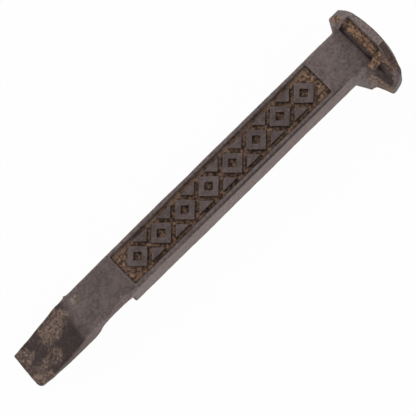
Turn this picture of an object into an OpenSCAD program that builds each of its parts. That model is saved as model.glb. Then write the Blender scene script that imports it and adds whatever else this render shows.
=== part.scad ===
// Railroad spike bottle opener: a square iron spike with a tapered point, a cap
// notch across its back, a sunk ornament panel on its face and a domed, lipped head.
// The spike lies along +X from its point to its head. +Z leaves the panel face and
// the head's lip reaches towards -Y. The origin is on the shank's flat back, half
// way between the cap lip's wall and the underside of the head. Sizes are in mm.

/* [Shank] */

// Width of the square bar across the panel face
shank_w = 15.9; // [13:0.1:20]
// Thickness of the square bar from its back to the panel face
shank_t = 15.9; // [14:0.1:20]
// Length of bar from the cap lip's wall to the underside of the head
grip_l = 112.3; // [95:0.1:140]

/* [Point] */

// Length of the tapered point
point_l = 24.2; // [17:0.1:32]
// Width of the blunt edge at the end of the point
edge_w = 14.7; // [9:0.1:15.5]
// Thickness of the blunt edge
edge_t = 1.2; // [0.6:0.1:2.4]
// Depth of the blunt edge below the panel face
edge_drop = 9.3; // [6:0.1:10.5]
// How far the point's face is hollowed between its heel and its edge
point_hollow = 2.3; // [0.5:0.1:3]
// Share of the point's length that keeps the bar's full width
point_full = 0.4; // [0.2:0.05:0.6]
// How far the edge's two ends are out of square
edge_skew = 0.8; // [0:0.1:1.5]
// Radius of the edge's worn corner
corner_r = 1.8; // [0.8:0.1:3]
// Length of the short bevel behind the edge
bevel_l = 4; // [2:0.1:6]
// Height of the point's back above the shank's back
heel_rise = 4; // [2:0.1:5]
// How far the point's back swells below its heel
belly = 0.4; // [0.2:0.1:1.6]

/* [Cap notch] */

// Length of the notch from the heel of the point to the lip's wall
notch_l = 21.2; // [18:0.1:28]
// Thickness of iron left between the notch and the panel face
web_t = 4; // [3:0.1:7]
// Thickness of the lip that hooks under a cap's edge
lip_t = 3.2; // [2.4:0.1:4.5]
// How far the lip overhangs its wall
lip_reach = 0.8; // [0.4:0.1:1.5]
// Length of the lip bar behind its wall
lip_l = 5; // [3:0.1:8]
// Length of the notch's flat floor
floor_l = 4; // [1:0.1:6]
// Radius between the notch's floor and the lip's wall
wall_r = 4.5; // [2:0.1:6]
// Share of the notch's ramp that is rounded as the heel's nose
nose_share = 0.4; // [0.2:0.05:0.6]
// Depth of the worn dent in the panel face's edge beside the notch
dent_in = 0.9; // [0.3:0.1:1.4]
// Height of the worn dent down the side of the bar
dent_down = 3.4; // [1:0.1:4]
// Length of the worn dent along the bar
dent_l = 26; // [12:0.5:30]

/* [Panel] */

// Face left between the lip's wall and the panel
panel_gap = 3.7; // [2:0.1:8]
// Face left between the panel and the head
panel_end = 14.5; // [8:0.1:25]
// Width of the rim beside the panel, opposite the head's lip
rim_far = 1; // [0.8:0.1:2]
// Width of the rim beside the panel, on the lip's side
rim_near = 1.4; // [0.8:0.1:2]
// How far the panel's long walls lean out between its floor and the face
panel_draft = 0.5; // [0.1:0.1:0.8]
// Depth of the panel's floor below the face
panel_depth = 1.8; // [1:0.1:2.5]
// Thickness of the plate that forms the panel's floor
plate_t = 1.2; // [0.8:0.1:2]
// Clearance around the plate in its pocket
plate_clear = 0.1; // [0.05:0.05:0.2]
// Number of lozenges along the panel
motif_count = 8; // [5:1:10]
// Floor left bare at each end of the ornament
motif_margin = 1.4; // [0.5:0.1:4]
// Floor left bare along each side of the ornament
motif_side = 1.45; // [0.8:0.05:2]
// Distance between neighbouring lozenges
lozenge_gap = 1.6; // [0.8:0.1:2.5]
// Size of a lozenge's open middle as a share of the lozenge
lozenge_hole = 0.42; // [0.2:0.02:0.5]
// Distance between a lozenge and a dart
dart_gap = 1.6; // [0.8:0.1:2]
// How far the ornament's tops lie below the face
relief_drop = 0.15; // [0:0.05:0.4]

/* [Head] */

// Width of the head across its two broad sides
head_w = 31.2; // [26:0.1:36]
// Width of the flat facets on the head's two broad sides
facet_w = 14.2; // [10:0.1:16]
// How far the head overhangs the bar opposite its lip
tail_reach = 5; // [3:0.1:7]
// Width of the flat facet opposite the lip
tail_w = 10; // [6:0.1:14]
// Height of the flare opposite the lip
tail_h = 2.7; // [1.5:0.1:5]
// Height of plain neck below the flares of the broad sides
neck_h = 2.5; // [1:0.1:4]
// Height of the flares of the broad sides
flare_h = 4.2; // [2.5:0.1:5]
// How far the lip would overhang the bar if its end were fully round in plan
hook_reach = 12.9; // [11:0.05:15]
// How much of that the lip's flat end takes off
hook_flat = 0.6; // [0.2:0.1:2]
// Radius of the lip's rounded end in plan
hook_r = 12.8; // [11.5:0.1:14]
// Half of the angle that the lip's rounded end turns through
hook_turn = 55; // [48:1:60]
// Thickness of the lip's blunt end
hook_t = 1; // [0.4:0.1:2]
// Length of the straight slope above that end
hook_run = 1.1; // [0.2:0.1:1.5]
// Angle of that slope to the bar's length
hook_tilt = 15; // [5:1:25]
// Radius that rounds the lip above the slope
hook_nose = 9.3; // [5:0.1:10]
// Angle to the bar's length at which that rounding ends
hook_lean = 66; // [55:1:70]
// Height from the underside of the head to the top of its crown
crown_h = 10.9; // [10:0.1:14]
// Radius of the crown from the lip to the side opposite
dome_r = 37; // [28:0.5:45]
// Radius of the crown across the broad sides as a multiple of that radius
dome_flat = 2.6; // [2.1:0.05:3.5]
// Offset of the crown's top towards the lip
dome_shift = 2.5; // [0:0.1:4]
// Fall of the rim's lower edge from the broad sides to the lip's rounded end
rim_fall = 1.2; // [0.4:0.1:2]
// How far the root of the lip reaches down the bar
root_drop = 3.1; // [1.5:0.1:4.5]
// Rise of the lip's underside from its root to its end
root_rise = 4.2; // [2.5:0.1:6]

/* [Throat] */

// Length of the throat down the bar from the root of the lip
throat_l = 2.5; // [2:0.1:5]
// How far the throat stands out from the bar
throat_reach = 5.3; // [3:0.1:7]
// Slant of the throat's outer end
throat_slant = 0.6; // [0.2:0.1:1]
// How far the throat's sides have drawn in from the bar's faces where it ends
throat_in = 1.3; // [0.8:0.1:3]

/* [Hidden] */

// Stations along the spike
x_wall = -grip_l / 2;
x_head = grip_l / 2;
x_heel = x_wall - notch_l;
x_edge = x_heel - point_l;
x_neck = x_head + neck_h;
x_root = x_head - root_drop;
x_crown = x_head + crown_h;
x_rim = x_neck + flare_h;
x_top = x_crown + 1;
half_w = shank_w / 2;
mid_z = shank_t / 2;

// Heights above the shank's back
edge_z = shank_t - edge_drop;
belly_z = heel_rise - belly;
floor_z = shank_t - web_t;

// Two arcs ramp from the heel to the notch's floor and a third turns down to the lip's wall
ramp_run = notch_l - floor_l - wall_r;
ramp_rise = floor_z - heel_rise;
ramp_angle = 2 * atan(ramp_rise / ramp_run);
ramp_r = ramp_run / sin(ramp_angle);
nose_r = ramp_r * nose_share;
floor_r = ramp_r - nose_r;
arc_step = 5;

// Panel and ornament
panel_x = x_wall + panel_gap;
panel_l = grip_l - panel_gap - panel_end;
panel_far = half_w - rim_far - panel_draft;
panel_near = half_w - rim_near - panel_draft;
panel_w = panel_far + panel_near;
panel_y = (panel_far - panel_near) / 2;
panel_z = shank_t - panel_depth;
motif_w = panel_w - 2 * motif_side;
motif_pitch = (panel_l - 2 * motif_margin) / motif_count;
lozenge_l = motif_pitch - lozenge_gap;
relief_h = panel_depth - relief_drop;
lozenge_angle = atan(motif_w / lozenge_l);
dart_half = motif_pitch / 2 - dart_gap / sin(lozenge_angle);
dart_h = dart_half * tan(lozenge_angle);

// Outline of the head, seen along the bar
head_half = head_w / 2;
tail_y = half_w + tail_reach;
hook_y = half_w + hook_reach;
hook_c = hook_y - hook_r;
crown_r = dome_r * dome_flat;

// Pieces

// Extrudes a side outline, given as [x, z], across the bar
module across(width) {
    rotate([90, 0, 0]) linear_extrude(height = width, center = true) children();
}

// Extrudes an outline given as [y, z] along the bar from one station to another
module along(x0, x1) {
    translate([x0, 0, 0]) rotate([90, 0, 90]) linear_extrude(height = x1 - x0) children();
}

// Side outline of the space that takes a cap, from the heel's nose to the lip's wall
module notch_outline() {
    nose = [for (i = [0:1:10]) let (a = ramp_angle * i / 10)
        [x_heel + nose_r * sin(a), heel_rise + nose_r * (1 - cos(a))]];
    ramp = [for (i = [9:-1:0]) let (a = ramp_angle * i / 10)
        [x_heel + ramp_run - floor_r * sin(a), floor_z - floor_r * (1 - cos(a))]];
    drop = [for (a = [0:arc_step:90])
        [x_wall - wall_r * (1 - sin(a)), floor_z - wall_r * (1 - cos(a))]];
    polygon(concat([[x_heel - 1, -1], [x_heel - 1, heel_rise]], nose, ramp, drop, [[x_wall, -1]]));
}

// Outline of the head as seen along the bar, with y across and z up
module head_outline() {
    hook = [for (i = [-12:1:12]) let (a = hook_turn * i / 12)
        [-hook_c - hook_r * cos(a), mid_z + hook_r * sin(a)]];
    polygon(concat(
        hook,
        [[-facet_w / 2, mid_z + head_half], [facet_w / 2, mid_z + head_half]],
        [[tail_y, mid_z + tail_w / 2], [tail_y, mid_z - tail_w / 2]],
        [[facet_w / 2, mid_z - head_half], [-facet_w / 2, mid_z - head_half]]));
}

// Wedge taken out of the face's edge beside the notch
module edge_dent() {
    spare = 0.5;
    from = x_wall + dent_l * 0.3;
    deep = from - dent_l * 0.35;
    to = from - dent_l;
    polyhedron(
        points = [
            [from, -half_w - spare, shank_t + spare], [to, -half_w - spare, shank_t + spare],
            [deep, -half_w + dent_in + spare, shank_t + spare],
            [deep, -half_w - spare, shank_t - dent_down - spare]],
        faces = [[0, 2, 1], [0, 1, 3], [1, 2, 3], [0, 3, 2]]);
}

// Section of the panel's pocket, upright around the plate and leaning out above it
module pocket_outline() {
    spare = 1;
    lean = panel_draft * (1 + spare / panel_depth);
    bed_z = panel_z - plate_t;
    polygon([
        [-panel_near, bed_z], [panel_far, bed_z], [panel_far, panel_z],
        [panel_far + lean, shank_t + spare], [-panel_near - lean, shank_t + spare], [-panel_near, panel_z]]);
}

// Square bar with its cap notch, the lip's rebate and the panel's pocket
module shank() {
    color([0.37, 0.34, 0.33]) difference() {
        translate([x_heel, -half_w, 0]) cube([x_head - x_heel, shank_w, shank_t]);
        across(shank_w + 2) notch_outline();
        translate([x_wall - 1, -half_w - 1, -1]) cube([lip_l + 1, shank_w + 2, lip_t + 1]);
        along(panel_x, panel_x + panel_l) pocket_outline();
        edge_dent();
    }
}

// Tapered point with a hollowed face and a blunt, slightly skewed edge
module point() {
    half_edge = edge_w / 2;
    x_full = x_heel - point_l * point_full;
    face = [for (i = [0:1:10]) let (u = i / 10)
        [x_heel - point_l * u, shank_t - edge_drop * u - point_hollow * 4 * u * (1 - u)]];
    color([0.27, 0.24, 0.24]) intersection() {
        across(shank_w) polygon(concat(face,
            [[x_edge, edge_z - edge_t], [x_edge + bevel_l, belly_z], [x_heel, heel_rise]]));
        linear_extrude(height = shank_t) polygon(concat(
            [[x_full, -half_w], [x_heel, -half_w], [x_heel, half_w], [x_full, half_w]],
            [[x_edge + edge_skew, half_edge]],
            [for (a = [180:10:270]) [
                x_edge + corner_r * (1 + cos(a)), -half_edge + corner_r * (1 + sin(a))]]));
    }
}

// Outline of the head from its broad side, with the lip's sloping underside
module lip_outline() {
    end = x_root + root_rise;
    blunt = end + hook_t;
    end_y = hook_flat - hook_y;
    start = [blunt + hook_run, end_y + hook_run * tan(hook_tilt)];
    nose = [for (i = [8:-1:0]) let (a = hook_tilt + (hook_lean - hook_tilt) * i / 8)
        start + hook_nose * [sin(a) - sin(hook_tilt), cos(hook_tilt) - cos(a)]];
    x_far = max(x_top, nose[0].x + 1);
    polygon(concat(
        [[x_head, half_w], [x_head + tail_h, tail_y], [x_far, tail_y]],
        [[x_far, nose[0].y + (x_far - nose[0].x) * tan(hook_lean)]],
        nose,
        [[blunt, end_y], [end, end_y], [x_root, -half_w], [x_head, -half_w]]));
}

// Outline of the head from its lip, with the neck and the two flares above it
module flare_outline() {
    polygon([
        [x_root, 0], [x_neck, 0], [x_rim, mid_z - head_half], [x_top, mid_z - head_half],
        [x_top, mid_z + head_half], [x_rim, mid_z + head_half], [x_neck, shank_t], [x_root, shank_t]]);
}

// Block on the point's side of the plane through three places on the head
module below(p, q, r) {
    n = cross(q - p, r - p);
    up = n.x < 0 ? -n : n;
    size = head_w * 2;
    translate(p) rotate([0, acos(up.z / norm(up)), atan2(up.y, up.x)])
        translate([-size / 2, -size / 2, -size]) cube(size);
}

// Flares at the corners of one broad side, which is up or down
module corner_flares(up) {
    rim = mid_z + up * head_half;
    face = mid_z + up * mid_z;
    below([x_head, half_w, face], [x_rim, facet_w / 2, rim],
        [x_head + tail_h, tail_y, mid_z + up * tail_w / 2]);
    below([x_root, -half_w, face], [x_rim, -facet_w / 2, rim],
        [x_rim - rim_fall, -hook_c - hook_r * cos(hook_turn), mid_z + up * hook_r * sin(hook_turn)]);
}

// Domed head with a lip that droops along one side
module head() {
    color([0.44, 0.37, 0.33]) difference() {
        intersection() {
            along(x_root, x_top) head_outline();
            linear_extrude(height = head_w * 2, center = true) lip_outline();
            across(hook_y * 2 + 2) flare_outline();
            translate([x_crown - crown_r, -dome_shift, mid_z]) rotate([90, 0, 0])
                rotate_extrude($fn = 128) translate([crown_r - dome_r, 0]) circle(r = dome_r, $fn = 96);
        }
        corner_flares(1);
        corner_flares(-1);
    }
}

// Gusset between the bar and the root of the lip, which narrows away from the bar
module throat() {
    slope = root_rise / (hook_reach - hook_flat);
    toe = throat_reach + throat_slant;
    toe_in = throat_in * toe / throat_reach;
    color([0.36, 0.34, 0.34]) intersection() {
        linear_extrude(height = shank_t) polygon([
            [x_root - throat_l, -half_w], [x_root, -half_w - throat_reach],
            [x_root + slope * toe, -half_w - toe], [x_root, -half_w]]);
        along(x_root - throat_l * 2, x_top) polygon([
            [-half_w, 0], [-half_w, shank_t], [-half_w - toe, shank_t - toe_in], [-half_w - toe, toe_in]]);
    }
}

// Bar let into the shank's back, whose nose hooks under a cap's edge
module cap_lip() {
    color([0.33, 0.28, 0.28]) across(shank_w) polygon([
        [x_wall + lip_l, 0], [x_wall + lip_l, lip_t], [x_wall, lip_t],
        [x_wall - lip_reach, lip_t / 2], [x_wall - lip_reach, 0]]);
}

// Plate that forms the panel's rusty floor
module panel_plate() {
    color([0.42, 0.33, 0.27])
        translate([panel_x + plate_clear, plate_clear - panel_near, panel_z - plate_t])
            cube([panel_l - 2 * plate_clear, panel_w - 2 * plate_clear, plate_t]);
}

// Open lozenges in a row along the panel
module panel_lozenges() {
    color([0.32, 0.28, 0.27]) for (i = [0:1:motif_count - 1])
        translate([panel_x + motif_margin + (i + 0.5) * motif_pitch, panel_y, panel_z])
            linear_extrude(height = relief_h) difference() {
                lozenge(1);
                lozenge(lozenge_hole);
            }
}

// Flat outline of one lozenge at a share of its full size
module lozenge(share) {
    polygon(share / 2 * [[lozenge_l, 0], [0, motif_w], [-lozenge_l, 0], [0, -motif_w]]);
}

// Darts that point inwards between the lozenges, from both sides of the panel
module panel_darts() {
    color([0.32, 0.28, 0.27]) for (i = [1:1:motif_count - 1], side = [-1, 1])
        translate([panel_x + motif_margin + i * motif_pitch, panel_y + side * motif_w / 2, panel_z])
            linear_extrude(height = relief_h)
                polygon([[-dart_half, 0], [dart_half, 0], [0, -side * dart_h]]);
}

shank();
point();
head();
throat();
cap_lip();
panel_plate();
panel_lozenges();
panel_darts();
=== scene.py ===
"""Dresses a railroad spike bottle opener: its cast iron skin, rusty panel, raised ornament and studio."""

import logging
import math
from dataclasses import dataclass, field
from enum import Enum

import bmesh
import bpy
import numpy as np
from mathutils import Matrix, Vector, noise
from mathutils.bvhtree import BVHTree
from mathutils.kdtree import KDTree


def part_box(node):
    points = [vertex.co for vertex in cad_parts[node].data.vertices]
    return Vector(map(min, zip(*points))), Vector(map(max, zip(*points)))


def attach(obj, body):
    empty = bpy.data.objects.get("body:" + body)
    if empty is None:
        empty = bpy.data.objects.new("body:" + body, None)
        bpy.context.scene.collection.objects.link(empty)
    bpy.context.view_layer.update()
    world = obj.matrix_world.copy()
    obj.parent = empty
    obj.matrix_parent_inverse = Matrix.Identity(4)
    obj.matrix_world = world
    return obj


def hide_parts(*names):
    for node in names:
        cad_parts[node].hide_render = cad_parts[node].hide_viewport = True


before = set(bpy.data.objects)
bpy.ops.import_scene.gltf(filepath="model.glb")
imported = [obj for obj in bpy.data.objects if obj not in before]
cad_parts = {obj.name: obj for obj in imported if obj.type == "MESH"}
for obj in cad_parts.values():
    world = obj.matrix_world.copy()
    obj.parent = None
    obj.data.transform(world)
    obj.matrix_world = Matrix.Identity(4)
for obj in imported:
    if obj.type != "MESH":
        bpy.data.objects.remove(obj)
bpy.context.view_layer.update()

LOG = logging.getLogger("spike")
MM = 0.001
WELD = 1e-6
CUT_SLACK = 1e-9
PATINA = "patina"
WHITE = (1.0, 1.0, 1.0)
# A Mix node's sockets share their names between data types, so its colour sockets go by number.
MIX_FIRST, MIX_SECOND, MIX_RESULT = 6, 7, 2
Rgb = tuple[float, float, float]
Range = tuple[float, float]
Waves = tuple[tuple[float, float], ...]
Socket = bpy.types.NodeSocket


class Channel(Enum):
    """What each channel of a piece's patina attribute stands for."""

    RUST = 0
    # Dark patina, and painted shade in hollows, creases and recesses.
    DARK = 1
    # Rubbed metal, and painted light on some sides and in the throat.
    WORN_AND_LIT = 2
    # Tan blotches, and a painted highlight on the head's flare.
    BLOTCH = 3


@dataclass(frozen=True)
class Skin:
    """How the iron's surface feels: bump depths in mm and the two ends of its roughness."""

    fine_depth: float
    coarse_depth: float
    smooth: float
    rough: float


class Grain(Enum):
    """Named grades of cast surface."""

    RUBBED = Skin(fine_depth=0.05, coarse_depth=0.08, smooth=0.52, rough=0.76)
    COARSE = Skin(fine_depth=0.1, coarse_depth=0.16, smooth=0.6, rough=0.85)


@dataclass(frozen=True)
class Layer:
    """A layer of noise: features per mm, octaves, share of each finer octave, and distortion."""

    scale: float
    detail: float
    rough: float
    warp: float = 0.0


class Texture(Enum):
    """Named layers of noise that the iron's look is made of, from the broadest to the finest."""

    CLOUD = Layer(0.10, 2.0, 0.55, 0.4)
    PATCH = Layer(0.21, 6.0, 0.72, 0.8)
    MOTTLE = Layer(0.38, 5.0, 0.65, 0.6)
    FLAKE = Layer(0.85, 3.0, 0.55)
    GRIT = Layer(1.1, 3.0, 0.6)
    SPECK = Layer(2.6, 2.0, 0.6)


class Graph:
    """Adds nodes to one material or world and keeps the links short to write."""

    def __init__(self, owner: bpy.types.Material | bpy.types.World) -> None:
        """Starts with no nodes.

        Args:
            owner: The material or world, whose nodes are cleared.
        """
        owner.use_nodes = True
        self.tree = owner.node_tree
        self.tree.nodes.clear()

    def add(self, kind: str, **settings: object) -> bpy.types.Node:
        """Adds one node.

        Args:
            kind: The node's type name.
            settings: Properties to set on it.

        Returns:
            The new node.
        """
        made = self.tree.nodes.new(kind)
        for key, value in settings.items():
            setattr(made, key, value)
        return made

    def feed(self, socket: Socket, value: object) -> None:
        """Links a socket into another, or sets a plain value on it.

        Args:
            socket: The input.
            value: A socket, a number or a colour.
        """
        if isinstance(value, bpy.types.NodeSocket):
            self.tree.links.new(value, socket)
        elif isinstance(value, tuple) and len(socket.default_value) == 4:
            socket.default_value = (*value, 1.0)
        else:
            socket.default_value = value

    def noise(self, place: Socket, layer: Layer) -> Socket:
        """Adds a noise texture.

        Args:
            place: Coordinates in mm.
            layer: What the noise is like.

        Returns:
            The noise as a value around 0.5.
        """
        made = self.add("ShaderNodeTexNoise")
        self.feed(made.inputs["Vector"], place)
        self.feed(made.inputs["Scale"], layer.scale)
        self.feed(made.inputs["Detail"], layer.detail)
        self.feed(made.inputs["Roughness"], layer.rough)
        self.feed(made.inputs["Distortion"], layer.warp)
        return made.outputs["Fac"]

    def math(self, kind: str, first: object, second: object, clamp: bool = False) -> Socket:
        """Adds a math node.

        Args:
            kind: The operation.
            first: A socket or number.
            second: A socket or number.
            clamp: Whether the result is held between 0 and 1.

        Returns:
            The result.
        """
        made = self.add("ShaderNodeMath", operation=kind, use_clamp=clamp)
        self.feed(made.inputs[0], first)
        self.feed(made.inputs[1], second)
        return made.outputs[0]

    def weigh(self, *terms: tuple[Socket, float]) -> Socket:
        """Adds values up by their weights.

        Args:
            terms: Each value and its weight.

        Returns:
            The sum.
        """
        total, *others = [self.math("MULTIPLY", value, weight) for value, weight in terms]
        for other in others:
            total = self.math("ADD", total, other)
        return total

    def span(self, value: Socket, source: Range, result: Range = (0.0, 1.0)) -> Socket:
        """Maps a value smoothly from one range to another.

        Args:
            value: The input.
            source: The range that it comes from.
            result: What the ends of that range become.

        Returns:
            The mapped value.
        """
        made = self.add("ShaderNodeMapRange", interpolation_type="SMOOTHSTEP")
        self.feed(made.inputs["Value"], value)
        for key, limit in zip(("From Min", "From Max", "To Min", "To Max"), (*source, *result)):
            self.feed(made.inputs[key], limit)
        return made.outputs["Result"]

    def mix(self, share: Socket, first: object, second: object) -> Socket:
        """Mixes two colours.

        Args:
            share: Share of the second colour.
            first: A socket or colour.
            second: A socket or colour.

        Returns:
            The mixed colour.
        """
        made = self.add("ShaderNodeMix", data_type="RGBA")
        self.feed(made.inputs["Factor"], share)
        self.feed(made.inputs[MIX_FIRST], first)
        self.feed(made.inputs[MIX_SECOND], second)
        return made.outputs[MIX_RESULT]

    def ramp(self, value: Socket, *stops: tuple[float, Rgb]) -> Socket:
        """Adds a colour ramp.

        Args:
            value: The input.
            stops: Places and colours along the ramp.

        Returns:
            The colour.
        """
        made = self.add("ShaderNodeValToRGB")
        band = made.color_ramp
        while len(band.elements) < len(stops):
            band.elements.new(0.5)
        for element, (place, colour) in zip(band.elements, stops):
            element.position = place
            element.color = (*colour, 1.0)
        self.feed(made.inputs["Fac"], value)
        return made.outputs["Color"]

    def seen(self) -> Socket:
        """Tells the rays that show a surface, straight or by gloss or glass, from those that light it.

        Returns:
            1 for a ray that shows it, and 0 for any other.
        """
        path = self.add("ShaderNodeLightPath").outputs
        shown = self.math("MAXIMUM", path["Is Camera Ray"], path["Is Glossy Ray"])
        return self.math("MAXIMUM", shown, path["Is Transmission Ray"])


@dataclass(frozen=True)
class IronFinish:
    """Cast iron whose rust, dark patina and painted shade, and rubbed edges and painted light follow the
    piece's patina attribute.

    A span is the range of noise over which a coat comes in, and a share is how much of it there is at
    the two ends of that range.
    """

    name: str
    grain: Grain
    grey_low: Rgb = (0.088, 0.067, 0.064)
    grey_high: Rgb = (0.150, 0.117, 0.112)
    rust_deep: Rgb = (0.042, 0.027, 0.020)
    rust_mid: Rgb = (0.145, 0.086, 0.058)
    rust_bright: Rgb = (0.360, 0.215, 0.135)
    # Tan of the pale blotches, also used for a painted highlight.
    tan_low: Rgb = (0.096, 0.066, 0.055)
    tan_high: Rgb = (0.285, 0.203, 0.162)
    # Colour of dark patina and of painted shade.
    dark: Rgb = (0.022, 0.014, 0.014)
    # Colours of rubbed metal and of painted light.
    worn_lit_low: Rgb = (0.184, 0.145, 0.135)
    worn_lit_high: Rgb = (0.288, 0.231, 0.216)
    grey_span: Range = (0.40, 0.60)
    fine_span: Range = (0.36, 0.64)
    flake_stops: tuple[float, float, float] = (0.44, 0.53, 0.63)
    rust_hold: float = 0.75
    rust_span: Range = (0.34, 0.60)
    dark_span: Range = (0.25, 0.60)
    dark_share: Range = (0.7, 1.0)
    # Noise span and share for the rubbed metal and painted light.
    worn_lit_span: Range = (0.30, 0.62)
    worn_lit_share: Range = (0.4, 1.0)
    blotch_even: float = 0.5
    blotch_gain: float = 0.7
    blotch_span: Range = (0.45, 0.64)
    blotch_share: Range = (0.0, 0.9)
    dull_span: Range = (0.1, 0.8)
    metal: float = 0.3
    gloss: float = 0.06

    def material(self) -> bpy.types.Material:
        """Builds the node material."""
        return IronGraph(self).material


class IronGraph(Graph):
    """Nodes of one iron material, from its noises and its patina to its shader."""

    def __init__(self, finish: IronFinish) -> None:
        """Builds the material.

        Args:
            finish: Its colours, spans and grain.
        """
        self.material = bpy.data.materials.new(finish.name)
        super().__init__(self.material)
        self.finish = finish
        self.noises = self.textures()
        self.patina = self.channels()
        self.crumb = self.weigh((self.noises[Texture.GRIT], 0.6), (self.noises[Texture.SPECK], 0.4))
        self.masks = self.coverage()
        self.shade()

    def textures(self) -> dict[Texture, Socket]:
        """Adds each layer of noise, on the object's own coordinates in mm.

        Returns:
            The noises.
        """
        mapping = self.add("ShaderNodeMapping")
        mapping.inputs["Scale"].default_value = (1 / MM,) * 3
        self.feed(mapping.inputs["Vector"], self.add("ShaderNodeTexCoord").outputs["Object"])
        place = mapping.outputs["Vector"]
        return {texture: self.noise(place, texture.value) for texture in Texture}

    def channels(self) -> dict[Channel, Socket]:
        """Reads the piece's patina.

        Returns:
            The amount of each channel.
        """
        patina = self.add("ShaderNodeAttribute", attribute_name=PATINA).outputs
        split = self.add("ShaderNodeSeparateColor")
        self.feed(split.inputs["Color"], patina["Color"])
        amounts = {key: split.outputs[key.value] for key in (Channel.RUST, Channel.DARK, Channel.WORN_AND_LIT)}
        amounts[Channel.BLOTCH] = patina["Alpha"]
        return amounts

    def coverage(self) -> dict[Channel, Socket]:
        """Breaks the patina up with noise.

        Returns:
            The share of the surface that each channel's coat covers.
        """
        finish, noises, patina = self.finish, self.noises, self.patina
        mottle, grit = noises[Texture.MOTTLE], noises[Texture.GRIT]
        ragged = self.math("SUBTRACT", self.weigh((mottle, 1.0), (grit, 0.5)), finish.rust_hold)
        reach = self.math("ADD", patina[Channel.RUST], ragged)
        uneven = self.span(mottle, finish.dark_span, finish.dark_share)
        # Breaks up the rubbed metal and the painted light.
        worn_lit = self.span(grit, finish.worn_lit_span, finish.worn_lit_share)
        excess = self.math("SUBTRACT", patina[Channel.BLOTCH], finish.blotch_even)
        patchy = self.math("ADD", noises[Texture.PATCH], self.math("MULTIPLY", excess, finish.blotch_gain))
        return {
            Channel.RUST: self.span(reach, finish.rust_span),
            Channel.DARK: self.math("MULTIPLY", patina[Channel.DARK], uneven, clamp=True),
            Channel.WORN_AND_LIT: self.math("MULTIPLY", patina[Channel.WORN_AND_LIT], worn_lit, clamp=True),
            Channel.BLOTCH: self.span(patchy, finish.blotch_span, finish.blotch_share),
        }

    def colour(self) -> Socket:
        """Lays the coats over the grey iron: rust, then dark patina and painted shade, then tan blotches and
        a painted highlight, then rubbed metal and painted light.

        Returns:
            The colour.
        """
        finish, noises = self.finish, self.noises
        mottle, grit, speck = (noises[key] for key in (Texture.MOTTLE, Texture.GRIT, Texture.SPECK))
        tone = self.weigh((noises[Texture.CLOUD], 0.3), (mottle, 0.3), (grit, 0.4))
        flake = self.weigh((noises[Texture.FLAKE], 0.75), (speck, 0.25), (self.patina[Channel.BLOTCH], 0.25))
        browns = (finish.rust_deep, finish.rust_mid, finish.rust_bright)
        sandy = self.span(grit, finish.fine_span)
        bright = self.span(self.crumb, finish.fine_span)
        coats = {
            Channel.RUST: self.ramp(flake, *zip(finish.flake_stops, browns)),
            Channel.DARK: finish.dark,
            Channel.BLOTCH: self.mix(sandy, finish.tan_low, finish.tan_high),
            Channel.WORN_AND_LIT: self.mix(bright, finish.worn_lit_low, finish.worn_lit_high),
        }
        colour = self.mix(self.span(tone, finish.grey_span), finish.grey_low, finish.grey_high)
        for channel, coat in coats.items():
            colour = self.mix(self.masks[channel], colour, coat)
        return colour

    def bump(self) -> Socket:
        """Lays fine bump over coarse.

        Returns:
            The normal.
        """
        skin = self.finish.grain.value
        mottle = self.noises[Texture.MOTTLE]
        normal = None
        for height, depth in ((mottle, skin.coarse_depth), (self.crumb, skin.fine_depth)):
            made = self.add("ShaderNodeBump")
            made.inputs["Distance"].default_value = depth * MM
            self.feed(made.inputs["Height"], height)
            if normal is not None:
                self.feed(made.inputs["Normal"], normal)
            normal = made.outputs["Normal"]
        return normal

    def shade(self) -> None:
        """Adds the shader, which is metallic only where the iron is bare, and duller where it isn't."""
        skin = self.finish.grain.value
        covered = self.math("MAXIMUM", self.masks[Channel.RUST], self.masks[Channel.BLOTCH])
        bare = self.math("SUBTRACT", 1.0, covered, clamp=True)
        dull = self.weigh((self.math("SUBTRACT", 1.0, bare), 0.6), (self.noises[Texture.GRIT], 0.4))
        roughness = self.span(dull, self.finish.dull_span, (skin.smooth, skin.rough))
        shader = self.add("ShaderNodeBsdfPrincipled")
        shader.inputs["Specular IOR Level"].default_value = self.finish.gloss
        self.feed(shader.inputs["Base Color"], self.colour())
        self.feed(shader.inputs["Metallic"], self.math("MULTIPLY", bare, self.finish.metal))
        self.feed(shader.inputs["Roughness"], roughness)
        self.feed(shader.inputs["Normal"], self.bump())
        self.feed(self.add("ShaderNodeOutputMaterial").inputs["Surface"], shader.outputs["BSDF"])


def settle(name: str, bm: bmesh.types.BMesh) -> bpy.types.Object:
    """Makes an object of a bmesh, which is freed.

    Args:
        name: Name of the new object.
        bm: Its mesh.

    Returns:
        The new object.
    """
    mesh = bpy.data.meshes.new(name)
    bm.to_mesh(mesh)
    bm.free()
    made = bpy.data.objects.new(name, mesh)
    bpy.context.scene.collection.objects.link(made)
    return made


def merged_copy(name: str, nodes: tuple[str, ...]) -> bpy.types.Object:
    """Copies CAD nodes into one new object, with their loose triangles merged.

    Args:
        name: Name of the new object.
        nodes: CAD nodes to copy.

    Returns:
        The new object.
    """
    bm = bmesh.new()
    for node in nodes:
        part = bmesh.new()
        part.from_mesh(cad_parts[node].data)
        bmesh.ops.remove_doubles(part, verts=part.verts, dist=WELD)
        spare = bpy.data.meshes.new("spare")
        part.to_mesh(spare)
        part.free()
        bm.from_mesh(spare)
        bpy.data.meshes.remove(spare)
    return settle(name, bm)


def apply_modifiers(piece: bpy.types.Object) -> None:
    """Puts what the modifiers make of an object's mesh in its place.

    Args:
        piece: The object.
    """
    graph = bpy.context.evaluated_depsgraph_get()
    made = bpy.data.meshes.new_from_object(piece.evaluated_get(graph))
    piece.modifiers.clear()
    old = piece.data
    piece.data = made
    bpy.data.meshes.remove(old)
    made.name = piece.name


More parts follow.
